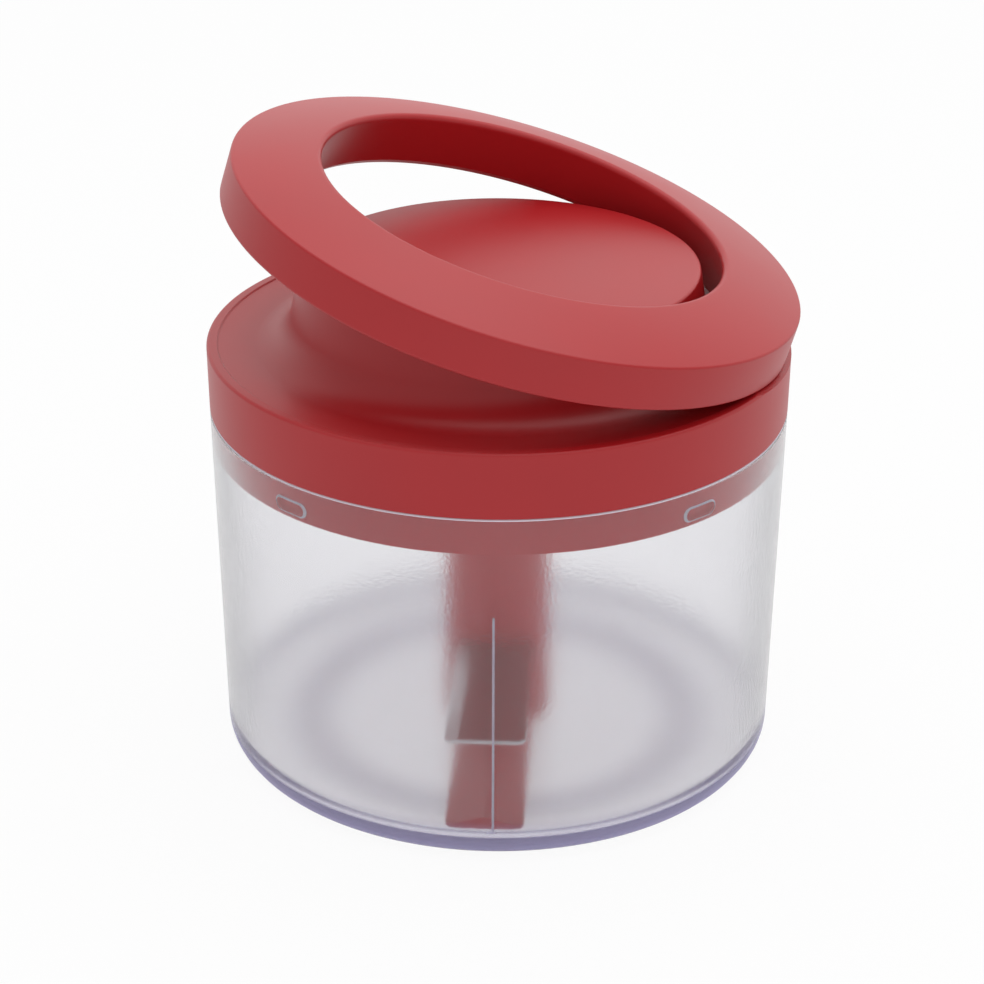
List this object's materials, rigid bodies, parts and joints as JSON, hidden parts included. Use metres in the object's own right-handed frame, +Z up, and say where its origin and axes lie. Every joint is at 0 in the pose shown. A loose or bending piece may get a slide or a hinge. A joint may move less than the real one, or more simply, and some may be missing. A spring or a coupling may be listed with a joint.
{
  "type": "food chopper",
  "caption": "Hand-pressed food chopper: frosted round bowl with turning blades under a domed lid, driven by a hinged ring lever through a rack and pinions.",
  "frame": {"origin": "middle of the bowl's flat underside", "axes": "+Z up along the axis of the bowl, blades and lid; +X towards the hinge of the ring lever"},
  "size_m": [0.1319, 0.1304, 0.1429],
  "materials": {
    "frosted_plastic": "frosted see-through moulded plastic, finely grained",
    "red_plastic": "satin moulded red plastic",
    "blade_steel": "brushed stainless sheet with a ground edge",
    "steel": "turned stainless steel",
    "spring_steel": "drawn spring wire",
    "grey_acetal": "smooth grey acetal"
  },
  "bodies": {
    "bowl": {"bowl": "frosted_plastic", "pivot_pin": "steel"},
    "blades": {"blade_hub": "red_plastic", "hub_bush": "grey_acetal", "drive_socket": "grey_acetal", "upper_blade": "blade_steel", "lower_blade": "blade_steel", "floor_paddle": "red_plastic"},
    "lid": {"lid_cover": "red_plastic", "lid_base": "red_plastic", "base_screws": "steel", "gear_carrier": "grey_acetal", "carrier_screws": "steel", "idler_axle": "steel", "shaft_bush": "grey_acetal", "hinge_pin": "steel", "return_spring": "spring_steel"},
    "lever": {"lever_top": "red_plastic", "lever_tray": "red_plastic", "lever_arm": "grey_acetal", "lever_screws": "steel", "arm_screws": "steel"},
    "idler": {"idler_pinion": "grey_acetal"},
    "rack": {"drive_rack": "grey_acetal"},
    "drive": {"drive_pinion": "grey_acetal", "drive_shaft": "steel", "shaft_clip": "spring_steel"}
  },
  "joints": [
    {"name": "lid_lift", "type": "slide", "parent": "bowl", "child": "lid", "axis": [0, 0, 1], "range_m": [0, 0.1]},
    {"name": "lever_press", "type": "hinge", "parent": "lid", "child": "lever", "pos_m": [0.059, 0, 0.1011], "axis": [0, -1, 0], "range_deg": [0, 16.2], "stiffness_Nm_per_rad": 0.8, "springref_deg": -34.38, "deforming": ["return_spring"]},
    {"name": "idler_spin", "type": "hinge", "parent": "lid", "child": "idler", "pos_m": [0.01513, 0, 0.09365], "axis": [0, 1, 0], "range_deg": [-1.5, 108]},
    {"name": "rack_slide", "type": "slide", "parent": "lid", "child": "rack", "axis": [-1, 0, 0], "range_m": [-0.0002, 0.0113]},
    {"name": "drive_spin", "type": "hinge", "parent": "lid", "child": "drive", "pos_m": [0, 0, 0.08], "axis": [0, 0, -1], "range_deg": [-1.5, 130]},
    {"name": "blade_spin", "type": "hinge", "parent": "bowl", "child": "blades", "pos_m": [0, 0, 0.02], "axis": [0, 0, -1], "range_deg": [-1.5, 130]}
  ],
  "couplings": [
    {"joint": "idler_spin", "follows": "lever_press", "ratio": 6.4167},
    {"joint": "rack_slide", "follows": "lever_press", "m_per_rad": 0.0385},
    {"joint": "drive_spin", "follows": "lever_press", "ratio": 7.7},
    {"joint": "blade_spin", "follows": "lever_press", "ratio": 7.7}
  ]
}
